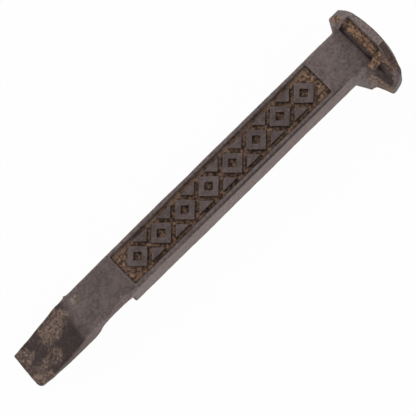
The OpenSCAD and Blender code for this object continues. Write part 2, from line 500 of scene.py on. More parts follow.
def remesh(piece: bpy.types.Object, voxel: float, rounds: int) -> None:
    """Turns closed solids into one even skin and rounds its edges.

    Args:
        piece: The object, whose mesh is replaced.
        voxel: Size of the skin's faces in metres.
        rounds: Rounds of smoothing.
    """
    step = piece.modifiers.new("skin", "REMESH")
    step.mode = "VOXEL"
    step.voxel_size = voxel
    apply_modifiers(piece)
    bm = bmesh.new()
    bm.from_mesh(piece.data)
    for _ in range(rounds):
        bmesh.ops.smooth_vert(
            bm, verts=bm.verts, factor=0.5, use_axis_x=True, use_axis_y=True, use_axis_z=True)
    bm.to_mesh(piece.data)
    bm.free()
    piece.data.materials.clear()
    piece.data.shade_smooth()


def places(mesh: bpy.types.Mesh) -> tuple[np.ndarray, np.ndarray]:
    """Reads a mesh's vertices and their normals.

    Args:
        mesh: The mesh.

    Returns:
        Places in mm and unit normals, one row each.
    """
    count = len(mesh.vertices)
    spots, normals = np.empty(count * 3), np.empty(count * 3)
    mesh.vertices.foreach_get("co", spots)
    mesh.vertices.foreach_get("normal", normals)
    return spots.reshape(-1, 3) / MM, normals.reshape(-1, 3)


def move(mesh: bpy.types.Mesh, spots: np.ndarray) -> None:
    """Puts a mesh's vertices at new places.

    Args:
        mesh: The mesh.
        spots: Places in mm, one row for each vertex.
    """
    mesh.vertices.foreach_set("co", (spots * MM).ravel())
    mesh.update()


def relief(mesh: bpy.types.Mesh, rounds: int) -> np.ndarray:
    """Measures how far each vertex stands out of its smoothed surroundings.

    Args:
        mesh: An evenly meshed piece.
        rounds: Rounds of smoothing, which set how wide the surroundings are.

    Returns:
        Height in mm, positive on ridges and negative in hollows.
    """
    spots, normals = places(mesh)
    ends = np.empty(len(mesh.edges) * 2, dtype=np.int64)
    mesh.edges.foreach_get("vertices", ends)
    a, b = ends.reshape(-1, 2).T
    count = len(spots)
    near = np.bincount(ends, minlength=count)
    soft = spots.copy()
    for _ in range(rounds):
        pull = [np.bincount(a, soft[b, k], count) + np.bincount(b, soft[a, k], count) for k in range(3)]
        soft = 0.5 * soft + 0.5 * np.stack(pull, 1) / near[:, None]
    return ((spots - soft) * normals).sum(1)


def ease(value: np.ndarray, none: float, full: float) -> np.ndarray:
    """Goes smoothly from 0 at one number to 1 at another, which may be the lower of the two.

    Args:
        value: Numbers to map.
        none: Where the result is 0, here and further out.
        full: Where it is 1, here and further out.

    Returns:
        Numbers from 0 to 1.
    """
    t = np.clip((value - none) / (full - none), 0.0, 1.0)
    return t * t * (3 - 2 * t)


def roughen(mesh: bpy.types.Mesh, *waves: tuple[float, float]) -> None:
    """Moves each vertex along its normal by layered noise.

    Args:
        mesh: The mesh, which is changed.
        waves: Wave length and height of each layer, in mm.
    """
    spots, normals = places(mesh)
    for length, height in waves:
        lift = np.array([noise.noise(Vector(p / length)) for p in spots])
        spots = spots + normals * (lift * height)[:, None]
    move(mesh, spots)


def paint(mesh: bpy.types.Mesh, patina: dict[Channel, np.ndarray]) -> np.ndarray:
    """Stores the patina attribute that the iron finish reads.

    Args:
        mesh: The mesh.
        patina: Amount of each channel at each vertex; a channel left out is 0.

    Returns:
        The stored values, one row for each vertex.
    """
    rgba = np.zeros((len(mesh.vertices), len(Channel)), np.float32)
    for channel, amount in patina.items():
        rgba[:, channel.value] = np.clip(amount, 0.0, 1.0)
    mesh.attributes.new(PATINA, "FLOAT_COLOR", "POINT").data.foreach_set("color", rgba.ravel())
    return rgba


@dataclass(frozen=True)
class Blotch:
    """A soft patch of the skin, seen from its face: place and radii in mm, and strength."""

    x: float
    y: float
    long: float
    wide: float
    strength: float

    def weight(self, spots: np.ndarray) -> np.ndarray:
        """Gives the patch's strength at each place."""
        off = ((spots[:, 0] - self.x) / self.long) ** 2 + ((spots[:, 1] - self.y) / self.wide) ** 2
        return self.strength * np.exp(-off)


def pooled(blotches: tuple[Blotch, ...], spots: np.ndarray) -> np.ndarray:
    """Adds up the strengths of some patches at each place."""
    return sum(blotch.weight(spots) for blotch in blotches)


@dataclass(frozen=True)
class Stretch:
    """A stretch with soft ends, in mm: nothing up to start, all of it from full to fade, nothing from end."""

    start: float
    full: float
    fade: float
    end: float

    def share(self, value: np.ndarray) -> np.ndarray:
        """Gives how far each value lies in the stretch, from 0 to 1."""
        return ease(value, self.start, self.full) * ease(value, self.end, self.fade)


def box_mm(node: str) -> list[list[float]]:
    """Reads a CAD node's lowest and highest corners in mm, to the nearest micrometre."""
    return [[round(value / MM, 3) for value in corner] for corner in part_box(node)]


@dataclass(frozen=True)
class Stations:
    """Where the spike's features lie, in mm.

    x runs from the point to the head, y from the head's lip to its tail and z from the back to the face.

    Attributes:
        heel: x where the point meets the bar.
        wall: x of the cap notch's wall.
        root: x where the underside of the head's lip meets the bar.
        head: x of the bar's end.
        neck: x of the foot of the head's flare.
        rim: x of the flare's rim.
        half_w: Half the bar's width.
        face: z of the bar's face.
        lip_t: Thickness of the cap lip.
        lip_l: From the notch's wall to the cap lip's back end.
        facet: Half the width of the rim's flat.
        soffit_slope: Rise of the lip's underside, in x for each mm away from the bar.
    """

    heel: float
    wall: float
    root: float
    head: float
    neck: float
    rim: float
    half_w: float
    face: float
    lip_t: float
    lip_l: float
    facet: float
    soffit_slope: float

    @classmethod
    def from_frame(cls, neck_h: float = 2.5, flare_h: float = 4.2, lip_l: float = 5.0,
                   facet: float = 7.1, soffit_slope: float = 0.34) -> "Stations":
        """Reads the stations from the CAD nodes' boxes.

        Args:
            neck_h: From the bar's end to the foot of the head's flare.
            flare_h: From there to the flare's rim.
            lip_l: As the attribute.
            facet: As the attribute.
            soffit_slope: As the attribute.

        Returns:
            The stations.
        """
        (heel, _, _), (bar_end, half_w, face) = box_mm("shank")
        (root, _, _), _ = box_mm("head")
        _, (lip_end, _, lip_t) = box_mm("cap_lip")
        neck = bar_end + neck_h
        return cls(heel=heel, wall=lip_end - lip_l, root=root, head=bar_end, neck=neck, rim=neck + flare_h,
                   half_w=half_w, face=face, lip_t=lip_t, lip_l=lip_l, facet=facet, soffit_slope=soffit_slope)


@dataclass(frozen=True)
class Rib:
    """Low rib beside the neck, on both broad sides below the head's facet: its reach and height in mm."""

    start: float = 56.6
    end: float = 61.7
    top: float = -8.5
    low: float = -11.3
    height: float = 0.5

    def rise(self, x: np.ndarray, y: np.ndarray, off: np.ndarray) -> np.ndarray:
        """Gives the rib's form.

        Args:
            x: Places along the bar.
            y: Places across it.
            off: Distances from its middle plane.

        Returns:
            Share of the rib's height, from 0 to 1.
        """
        along = Stretch(self.start, self.start + 0.4, self.end - 0.5, self.end)
        across = Stretch(self.low - 0.4, self.low, self.top - 0.4, self.top)
        return along.share(x) * across.share(y) * ease(off, 6.5, 7.5)

    def cover(self, x: np.ndarray, y: np.ndarray, off: np.ndarray) -> np.ndarray:
        """Gives the rib's skin, which reaches a little further down its flanks.

        Args:
            x: Places along the bar.
            y: Places across it.
            off: Distances from its middle plane.

        Returns:
            How far each place lies on the rib, from 0 to 1.
        """
        along = Stretch(self.start - 0.2, self.start + 0.2, self.end - 0.2, self.end + 0.2)
        across = Stretch(self.low - 0.5, self.low, self.top - 0.2, self.top + 0.3)
        return along.share(x) * across.share(y) * ease(off, 6.0, 7.0)


class Zone(Enum):
    """Parts of the casting's skin that weather in their own way."""

    BROAD = "the head's flare on the bar's broad sides"
    FLARE_FOOT = "its foot, beside the neck"
    FLARE_TOP = "its upper part, towards the rim"
    FLARE_ENDS = "its two ends"
    FLARE_TAIL = "its end towards the tail"
    # A painted highlight down the flare's middle.
    GLOW = "the middle of its upper part"
    TOP_EDGE = "the underside's edge along the rim"
    TAIL = "the underside of the head's short end"
    CREST = "the crest between the flare and the tail"
    FACET = "the rim's flat above the broad sides"
    HOOK_RIM = "the rim round the lip"
    CREASE = "the crease at the neck"
    LIP_UNDER = "the underside on the lip's side"
    SOFFIT = "the lip's underside, square to the broad sides"
    CORNER = "the flare's corners on the lip's side"
    CORNER_TOP = "those corners towards the rim"
    CHEEK = "the lip's flat flanks"
    BROW = "the lip's edges along its underside"
    RIB = "the ribs beside the neck"
    RIB_TOP = "the ribs' ends towards the bar"
    GUSSET = "the gusset in the throat"
    GUSSET_TOP = "the gusset close to the bar"
    BAR_SIDE = "the bar's two sides"
    HANDLE_SIDE = "the sides along the handle"
    POINT_SIDE = "the sides towards the point"
    WEB_SIDE = "the sides beside the cap notch"
    TO_POINT = "all that lies towards the point"
    POINT = "the point's hollow face"
    HEEL_FACE = "the face next to the point"
    WEB_FACE = "the face between there and the panel"
    WEB_FACE_LOW = "that face on the lip's side"
    NEAR_HEAD = "the face next to the head"
    LOW_RIM = "the panel's rim on the lip's side"
    SEAM = "the bar's edge along that rim"
    POCKET = "the panel's walls"
    NOTCH = "the cap notch"
    HOLLOW = "any hollow"
    RIDGE = "any ridge that gets rubbed"
    TAIL_RIDGE = "the ridges at the head's short end"
    PATCHES = "the pale blotches"
    FLECKS = "the bright flecks"
    STAINS = "the rust stains"
    STAIN_VEIL = "what the stains cover"
    TAIL_STAINS = "the stains at the head's short end"


@dataclass(frozen=True)
class Coat:
    """How much of one patina channel the skin's zones get.

    The zones add to a base amount, veils then take a share of that away, and later zones add to the rest.
    """

    base: float
    zones: dict[Zone, float]
    veils: dict[Zone, float] = field(default_factory=dict)
    later: dict[Zone, float] = field(default_factory=dict)

    def amount(self, found: dict[Zone, np.ndarray]) -> np.ndarray:
        """Works the coat out.

        Args:
            found: How far each vertex lies in each zone.

        Returns:
            The channel's amount at each vertex.
        """
        total = self.base + sum(weight * found[zone] for zone, weight in self.zones.items())
        for zone, share in self.veils.items():
            total = total * (1 - share * found[zone])
        return total + sum(weight * found[zone] for zone, weight in self.later.items())


def casting_coats() -> dict[Channel, Coat]:
    """Lists the casting's coats: rust under the head; dark patina on the point and the hook's rim, and
    painted shade in hollows, the neck's crease, the lip's corners, under the rim's edge and on the panel's
    walls; rubbed edges, and painted light on the bar's sides and the gusset.

    Returns:
        The coat of each channel.
    """
    return {
        Channel.RUST: Coat(
            base=0.08,
            zones={Zone.BROAD: 0.15, Zone.FLARE_TOP: 0.72, Zone.RIB: 0.85, Zone.CORNER: 0.15,
                   Zone.CORNER_TOP: 0.45, Zone.SOFFIT: 0.35, Zone.TAIL: 0.2},
            veils={Zone.CREST: 0.8},
            later={Zone.STAINS: 1.0, Zone.POCKET: 0.45, Zone.NOTCH: 0.3, Zone.HOOK_RIM: 0.3,
                   Zone.BAR_SIDE: 0.31, Zone.POINT_SIDE: 0.04},
        ),
        # Dark: patina on the point and the hook's rim; painted shade in hollows, the neck's crease, the
        # flare's foot, the lip's corners, under the rim's edge and on the panel's walls.
        Channel.DARK: Coat(
            base=0.0,
            zones={Zone.HOLLOW: 0.5, Zone.CORNER: 0.5, Zone.CORNER_TOP: -0.25, Zone.CHEEK: 0.38,
                   Zone.CREASE: 0.12, Zone.POINT: 0.66, Zone.POCKET: 0.95, Zone.NOTCH: 0.35,
                   Zone.HOOK_RIM: 0.72, Zone.TOP_EDGE: 0.7, Zone.FLARE_ENDS: 0.3, Zone.FLARE_TAIL: 0.3,
                   Zone.TAIL_STAINS: 0.6, Zone.FLARE_FOOT: 0.3, Zone.WEB_FACE: 0.07,
                   Zone.WEB_FACE_LOW: 0.07, Zone.WEB_SIDE: 0.15},
            veils={Zone.BROW: 0.8, Zone.CREST: 0.8},
            later={Zone.LOW_RIM: 0.24, Zone.SEAM: 0.6, Zone.POINT_SIDE: 0.55},
        ),
        # Light: rubbed edges and the rim's burnished flat; painted light on the sides along the handle and on
        # the gusset.
        Channel.WORN_AND_LIT: Coat(
            base=0.0,
            zones={Zone.RIDGE: 0.25, Zone.TAIL_RIDGE: 0.45, Zone.HEEL_FACE: 0.12, Zone.FACET: 0.82,
                   Zone.TAIL: 0.85, Zone.CREST: 0.7, Zone.NEAR_HEAD: 0.2, Zone.GUSSET: 0.14,
                   Zone.GUSSET_TOP: 0.28},
            veils={Zone.STAIN_VEIL: 1.0, Zone.LIP_UNDER: 0.9, Zone.BROW: 0.8},
            later={Zone.HANDLE_SIDE: 0.44, Zone.FLECKS: 1.0},
        ),
        # Pale: tan blotches, and a painted highlight down the middle of the flare.
        Channel.BLOTCH: Coat(
            base=0.16,
            zones={Zone.TO_POINT: 0.18, Zone.POINT: 0.16, Zone.PATCHES: 1.0, Zone.HOOK_RIM: 0.2,
                   Zone.TAIL: 0.22, Zone.SOFFIT: 0.3, Zone.RIB: -0.02, Zone.RIB_TOP: 0.22,
                   Zone.BROW: 0.5, Zone.GLOW: 0.12},
        ),
    }


@dataclass(frozen=True)
class Marks:
    """Single marks on the casting: pale blotches, rust stains and bright flecks, one of which is a painted
    highlight.
    """

    blotches: tuple[Blotch, ...] = (
        Blotch(-84.5, 4.0, 4.5, 2.4, 0.34),
        Blotch(-78.2, 4.8, 2.2, 2.2, 0.40),
        Blotch(-71.4, 4.7, 2.1, 1.6, 0.75),
        Blotch(-97.5, -3.6, 4.5, 3.2, 0.20),
        Blotch(-89.0, -3.0, 4.0, 2.6, 0.10),
        Blotch(-93.5, 4.5, 4.5, 2.6, -0.06),
        Blotch(-97.5, 4.0, 3.2, 2.4, 0.20),
        Blotch(-97.0, 0.0, 3.0, 2.0, -0.12),
        Blotch(-83.5, 0.8, 3.6, 1.6, 0.22),
        Blotch(-81.0, -4.2, 5.0, 3.4, -0.5),
        Blotch(-62.0, -3.5, 4.0, 2.5, 0.22),
        Blotch(-54.6, 3.6, 1.3, 1.6, 0.35),
        Blotch(54.6, -14.6, 1.5, 2.0, 0.75),
        Blotch(59.4, -18.4, 0.7, 0.8, 0.5),
    )
    stains: tuple[Blotch, ...] = (
        Blotch(60.5, 10.2, 1.7, 2.0, 0.6),
        Blotch(63.6, -15.0, 1.2, 2.5, 0.3),
    )
    flecks: tuple[Blotch, ...] = (
        Blotch(-71.6, 5.1, 1.2, 1.0, 0.85),
        Blotch(-55.6, -3.7, 0.45, 0.4, 0.9),
        Blotch(-59.0, -6.0, 0.4, 0.35, 0.8),
        # A painted highlight on the dent in the bar's edge.
        Blotch(-70.8, -7.6, 1.2, 0.3, 0.8),
    )


class Weather:
    """Finds the zones of the casting's skin, each as a share from 0 to 1 at every vertex.

    A zone fades in between two places in mm, most of them counted from a station, or between two slopes
    of the skin, which are parts of its unit normal.
    """

    heel_face: Stretch = Stretch(-75.0, -72.0, -67.0, -63.0)
    web_face: Stretch = Stretch(-64.0, -60.0, -53.0, -52.0)
    web_side: Stretch = Stretch(-70.0, -66.0, -57.0, -55.0)
    low_rim: Stretch = Stretch(-60.0, -52.0, 56.0, 58.0)
    seam: Stretch = Stretch(-50.0, 0.0, 55.0, 57.0)
    seam_faint: Range = (42.0, 46.0)
    to_point: Range = (-55.0, -90.0)
    near_head: Range = (20.0, 46.0)
    pocket_z: Range = (12.0, 12.6)

    def __init__(self, mesh: bpy.types.Mesh, at: Stations, rib: Rib, marks: Marks) -> None:
        """Finds every zone.

        Args:
            mesh: The whole skin.
            at: Where the casting's features lie.
            rib: The rib beside the neck.
            marks: The single marks.
        """
        self.mesh = mesh
        self.at = at
        self.spots, normals = places(mesh)
        self.x, self.y, self.z = self.spots.T
        self.along, self.across, self.up = normals.T
        self.broadside = np.abs(self.up)
        self.flat = ease(self.broadside, 0.75, 0.92)
        self.facing = ease(self.up, 0.4, 0.8)
        self.off = np.abs(self.z - at.face / 2)
        self.found: dict[Zone, np.ndarray] = {Zone.RIB: rib.cover(self.x, self.y, self.off)}
        self.find_flare()
        self.find_lip()
        self.find_sides()
        self.find_face()
        self.find_relief()
        self.find_marks(marks)

    def find_flare(self) -> None:
        """Finds the zones of the head's flared underside, its tail and its rim."""
        at, x, y, found = self.at, self.x, self.y, self.found
        clear = 1 - found[Zone.RIB]
        under = ease(x, at.head - 3.8, at.head - 1.0) * ease(x, at.rim + 0.8, at.rim)
        under = under * ease(self.along, -0.2, -0.5)
        lip_side = ease(y, -at.facet, -at.facet - 0.8)
        tail_side = ease(y, at.facet, at.facet + 0.8)
        found[Zone.LIP_UNDER] = under * lip_side * clear
        found[Zone.SOFFIT] = under * lip_side * ease(self.broadside, 0.28, 0.12)
        found[Zone.TAIL] = under * tail_side
        found[Zone.CREST] = under * np.exp(-(((y - 8.3 + 0.215 * (x - 57.5)) / 0.32) ** 2))
        # Painted shade on the underside just below the rim's overhanging edge.
        found[Zone.TOP_EDGE] = under * clear * ease(x, at.rim - 1.1, at.rim - 0.4)

        broad = under * (1 - lip_side) * (1 - tail_side) * ease(self.broadside, 0.2, 0.35)
        ends = ease(np.abs(y + 0.5), 4.5, 7.5)
        # Painted highlight down the middle of the flare's upper part.
        highlight_band = ease(x, at.neck + 1.4, at.neck + 2.2) * ease(x, at.rim - 0.1, at.rim - 0.9)
        found[Zone.BROAD] = broad
        # Painted shade at the flare's foot, in the corner by the neck.
        found[Zone.FLARE_FOOT] = broad * ease(x, at.neck + 1.7, at.neck + 1.0)
        found[Zone.FLARE_TOP] = broad * ease(x, at.neck + 0.8, at.neck + 1.8)
        found[Zone.FLARE_ENDS] = broad * ends
        found[Zone.FLARE_TAIL] = broad * ease(y, 4.6, 6.4)
        found[Zone.GLOW] = broad * highlight_band * (1 - 0.7 * ends)

        rim_edge = at.rim - 1.2 * ease(y, -at.facet, -15.0)
        band = ease(x - rim_edge, 0.1, 0.6) * ease(np.abs(self.along), 0.75, 0.5)
        facet = band * ease(self.broadside, 0.6, 0.8) * ease(y, -at.facet - 0.7, -at.facet - 0.3)
        found[Zone.FACET] = facet
        found[Zone.HOOK_RIM] = band * (1 - facet) * lip_side

    def find_lip(self) -> None:
        """Finds the zones of the head's lip, the ribs and the gusset under them."""
        at, x, y, found = self.at, self.x, self.y, self.found
        clear = 1 - found[Zone.RIB]
        inset = x - at.root - (-y - at.half_w) * at.soffit_slope
        brow = ease(inset - 0.1 * (y + 11.5), 1.6, 0.8) * ease(self.off, 1.0, 3.0)
        brow = brow * ease(y - 0.4 * np.clip(inset, -3.0, 2.0), -11.0, -12.2)
        found[Zone.BROW] = brow

        slant = x - at.head - 0.3 - 0.49 * (y + 11.4)
        # The flare's corners under the lip, which get painted shade.
        corner = found[Zone.LIP_UNDER] * (1 - brow) * ease(self.broadside, 0.12, 0.28)
        corner = corner * ease(slant, -1.2, 0.0)
        found[Zone.CORNER] = corner
        found[Zone.CORNER_TOP] = corner * ease(x, at.neck + 1.0, at.neck + 2.2)
        front = self.flat * ease(y, -at.half_w - 0.4, -at.half_w - 0.9) * ease(x, at.neck + 0.6, at.neck)
        found[Zone.CHEEK] = front * ease(slant, -0.6, 0.4) * ease(y, -10.6, -11.8) * clear * (1 - brow)

        # Painted shade along the crease at the neck.
        crease = Stretch(at.neck - 3.0, at.neck - 0.8, at.neck + 0.3, at.neck + 1.0)
        found[Zone.CREASE] = crease.share(x) * ease(self.broadside, 0.2, 0.4) * clear
        found[Zone.RIB_TOP] = found[Zone.RIB] * ease(y, -9.6, -8.8)
        # The gusset in the throat, which gets painted light.
        gusset = ease(y, -at.half_w, -at.half_w - 0.6) * ease(x, at.head, at.head - 1.0)
        found[Zone.GUSSET] = gusset
        found[Zone.GUSSET_TOP] = gusset * ease(y, -10.4, -9.4)

    def find_sides(self) -> None:
        """Finds the zones of the bar's sides and of the cap notch in its back."""
        at, x, y, found = self.at, self.x, self.y, self.found
        side = ease(np.abs(self.across), 0.85, 0.95) * ease(x, at.head, at.head - 3.0)
        to_point = ease(x, *self.to_point)
        found[Zone.TO_POINT] = to_point
        found[Zone.BAR_SIDE] = side
        # The sides along the handle get rubbed metal and painted light.
        found[Zone.HANDLE_SIDE] = side * (1 - to_point)
        found[Zone.POINT_SIDE] = side * to_point
        found[Zone.WEB_SIDE] = side * self.web_side.share(x)

        seam = ease(np.abs(y + at.half_w - 0.1), 0.5, 0.15) * ease(self.z, at.face - 2.6, at.face - 1.7)
        found[Zone.SEAM] = seam * self.seam.share(x) * (1 - 0.7 * ease(x, *self.seam_faint))
        notch = Stretch(at.heel - 2.0, at.heel + 3.0, at.wall, at.wall + 1.5)
        found[Zone.NOTCH] = notch.share(x) * ease(self.up, 0.0, -0.4)

    def find_face(self) -> None:
        """Finds the zones of the bar's face, from the point's hollow to the head."""
        at, x, y, z, found = self.at, self.x, self.y, self.z, self.found
        wander = 0.19 * y + 0.35 * np.sin(1.3 * y + 0.6) + 0.25 * np.sin(3.1 * y)
        found[Zone.POINT] = ease(x - wander, at.heel + 2.4, at.heel - 0.8) * ease(self.up, 0.5, 0.8)
        front = self.flat * self.facing
        found[Zone.HEEL_FACE] = front * self.heel_face.share(x)
        found[Zone.WEB_FACE] = front * self.web_face.share(x)
        found[Zone.WEB_FACE_LOW] = found[Zone.WEB_FACE] * ease(y, 0.0, -3.0)
        found[Zone.NEAR_HEAD] = (
            ease(x, *self.near_head) * ease(x, at.head, at.head - 2.0) * ease(self.broadside, 0.8, 0.95))

        rim = self.flat * ease(y, -5.4, -6.6) * ease(y, -at.half_w, -at.half_w + 0.2)
        found[Zone.LOW_RIM] = rim * ease(z, 14.0, 15.0) * self.low_rim.share(x)
        # The panel's walls, which get painted shade.
        inside = Stretch(at.wall, at.wall + 2.0, at.head - 8.0, at.head)
        pocket = inside.share(x) * ease(at.half_w - np.abs(y), 0.7, 1.0)
        found[Zone.POCKET] = pocket * ease(at.face - z, 0.05, 0.28) * ease(z, *self.pocket_z)

    def find_relief(self, fine_rounds: int = 10, wide_rounds: int = 110) -> None:
        """Finds the hollows, which get dark patina and painted shade, and the rubbed ridges.

        Args:
            fine_rounds: Rounds of smoothing that a ridge stands out of.
            wide_rounds: Rounds of smoothing that a hollow lies under.
        """
        found = self.found
        # Hollows get dark patina and painted shade.
        hollow = ease(relief(self.mesh, wide_rounds), -0.07, -0.42)
        found[Zone.HOLLOW] = hollow * (1 - found[Zone.RIB]) * (1 - found[Zone.GUSSET])
        ridge = ease(relief(self.mesh, fine_rounds), 0.03, 0.11) * (1 - hollow)
        for zone in (Zone.POINT, Zone.SEAM, Zone.SOFFIT):
            ridge = ridge * (1 - found[zone])
        found[Zone.RIDGE] = ridge
        on_tail = ease(self.x, self.at.head + 1.0, self.at.head + 2.0) * ease(self.y, 6.3, 6.8)
        found[Zone.TAIL_RIDGE] = ridge * on_tail

    def find_marks(self, marks: Marks) -> None:
        """Finds the single marks.

        Args:
            marks: The marks.
        """
        stains = pooled(marks.stains, self.spots)
        self.found[Zone.STAINS] = stains
        self.found[Zone.STAIN_VEIL] = np.clip(2.2 * stains, 0.0, 0.9)
        self.found[Zone.TAIL_STAINS] = stains * self.found[Zone.TAIL]
        self.found[Zone.PATCHES] = pooled(marks.blotches, self.spots) * self.facing
        self.found[Zone.FLECKS] = pooled(marks.flecks, self.spots) * self.facing


@dataclass(frozen=True)
class Section:
    """A named piece of the casting between plane cuts, each a place and the way to what it takes off."""

    name: str
    nodes: tuple[str, ...]
    slot: str
    cuts: tuple[tuple[Vector, Vector], ...]
    seats_lip: bool = False

    def cut(self, skin: bpy.types.Mesh) -> bpy.types.Object:
        """Cuts the piece out of the skin and closes it.

        Args:
            skin: The whole casting's skin, which is left as it is.

        Returns:
            The piece.
        """
        bm = bmesh.new()
        bm.from_mesh(skin)
        for place, way in self.cuts:
            whole = bm.verts[:] + bm.edges[:] + bm.faces[:]
            done = bmesh.ops.bisect_plane(
                bm, geom=whole, dist=CUT_SLACK, plane_co=place * MM, plane_no=way, clear_outer=True)
            rim = [part for part in done["geom_cut"] if isinstance(part, bmesh.types.BMEdge)]
            bmesh.ops.holes_fill(bm, edges=rim, sides=0)
        return settle(self.name, bm)


@dataclass
class Casting:
    """Shank, point, head, throat and cap lip, cut from the one continuous skin that the iron shows."""

    nodes: tuple[str, ...] = ("shank", "point", "head", "throat", "cap_lip")
    at: Stations = field(default_factory=Stations.from_frame)
    voxel: float = 0.34 * MM
    rounds: int = 2
    waves: Waves = ((14.0, 0.16), (4.0, 0.07), (1.5, 0.045))
    side_gap: float = 0.6
    crease_angle: float = 50.0
    rib: Rib = Rib()
    swell: float = 0.08
    swells: tuple[Blotch, ...] = (
        Blotch(-14.0, -8.0, 42.0, 3.0, 0.2),
        Blotch(0.0, 8.0, 42.0, 3.0, 0.14),
        Blotch(62.6, -18.8, 1.7, 1.8, 0.16),
        Blotch(64.9, -15.6, 1.4, 3.0, -0.18),
        Blotch(-101.5, 0.5, 1.2, 4.0, 0.16),
        Blotch(-76.6, 7.8, 2.0, 1.0, -0.2),
    )
    burr: tuple[float, float, float] = (-73.2, 7.9, 15.7)
    burr_r: float = 0.5
    marks: Marks = Marks()
    coats: dict[Channel, Coat] = field(default_factory=casting_coats)
    patina: np.ndarray = field(init=False)
    tree: KDTree = field(init=False)
    pieces: list[bpy.types.Object] = field(init=False, default_factory=list)

    def sections(self) -> tuple[Section, ...]:
        """Lists the pieces with the plane cuts that part them.

        Returns:
            The pieces.
        """
        at = self.at
        toward, away = Vector((1, 0, 0)), Vector((-1, 0, 0))
        heel, root = Vector((at.heel, 0, 0)), Vector((at.head, 0, 0))
        side = Vector((0, -at.half_w - self.side_gap, 0))
        behind = Vector((at.wall + at.lip_l, 0, at.lip_t))
        ahead = Vector((at.wall - at.lip_l, 0, 0))
        return (
            Section("spike_point", ("point",), "dark_iron", ((heel, toward),)),
            Section("spike_shank", ("shank",), "worn_iron",
                    ((heel, away), (root, toward), (side, Vector((0, -1, 0)))), seats_lip=True),
            Section("spike_head", ("head",), "rusted_iron", ((root, away),)),
            Section("lip_throat", ("throat",), "worn_iron", ((root, toward), (side, Vector((0, 1, 0))))),
            Section("cap_lip_bar", ("cap_lip",), "dark_iron",
                    ((ahead, away), (behind, toward), (behind, Vector((0, 0, 1))))),
        )

    def build(self) -> list[bpy.types.Object]:
        """Makes the skin over the five nodes and cuts the pieces from it.

        Returns:
            The pieces.
        """
        whole = merged_copy("skin", self.nodes)
        remesh(whole, self.voxel, self.rounds)
        self.sculpt(whole.data)
        roughen(whole.data, *self.waves)
        self.weather(whole.data)
        for section in self.sections():
            piece = section.cut(whole.data)
            if section.seats_lip:
                self.seat_lip(piece)
            piece.data.shade_smooth()
            piece.data.set_sharp_from_angle(angle=math.radians(self.crease_angle))
            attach(piece, "root")
            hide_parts(*section.nodes)
            self.pieces.append(piece)
        bpy.data.meshes.remove(whole.data)
        return self.pieces

    def seat_lip(self, shank: bpy.types.Object) -> None:
        """Takes the cap lip's seat out of the shank.

        Args:
            shank: The shank's piece, whose mesh is replaced.
        """
        at = self.at
        size = Vector((2 * at.lip_l, 3 * at.half_w, 4 * at.lip_t))
        middle = Vector((at.wall, 0, at.lip_t - size.z / 2))
        bm = bmesh.new()
        bmesh.ops.create_cube(
            bm, size=1.0, matrix=Matrix.Translation(middle * MM) @ Matrix.Diagonal((*(size * MM), 1.0)))
        block = settle("seat", bm)
        step = shank.modifiers.new("seat", "BOOLEAN")
        step.operation = "DIFFERENCE"
        step.object = block
        step.solver = "MANIFOLD"
        apply_modifiers(shank)
        bpy.data.meshes.remove(block.data)

    def sculpt(self, mesh: bpy.types.Mesh) -> None:
        """Makes up for the rounding, and adds the ribs, the burr and the casting's swells.

        Args:
            mesh: The skin, which is changed.
        """
        spots, normals = places(mesh)
        x, y, z = spots.T
        rib = self.rib.rise(x, y, np.abs(z - self.at.face / 2))
        far = np.linalg.norm(spots - np.array(self.burr), axis=1)
        burr = np.exp(-((far / self.burr_r) ** 2))
        lift = self.swell + self.rib.height * rib + self.burr_r * burr + pooled(self.swells, spots)
        move(mesh, spots + normals * lift[:, None])

    def weather(self, mesh: bpy.types.Mesh) -> None:
        """Works out where the iron is rusty, dark, rubbed or blotched, and keeps it for the pieces.

        Args:
            mesh: The whole skin.
        """
        found = Weather(mesh, self.at, self.rib, self.marks).found
        self.patina = paint(mesh, {channel: coat.amount(found) for channel, coat in self.coats.items()})
        self.tree = KDTree(len(mesh.vertices))
        for index, vertex in enumerate(mesh.vertices):
            self.tree.insert(vertex.co, index)
        self.tree.balance()

    def dress(self, finish: IronFinish) -> None:
        """Carries the skin's patina over to the pieces and gives them their finish.

        Args:
            finish: The iron's finish.
        """
        material = finish.material()
        for piece in self.pieces:
            mesh = piece.data
            rows = [self.tree.find(vertex.co)[1] for vertex in mesh.vertices]
            paint(mesh, {channel: self.patina[rows, channel.value] for channel in Channel})
            mesh.materials.clear()
            mesh.materials.append(material)


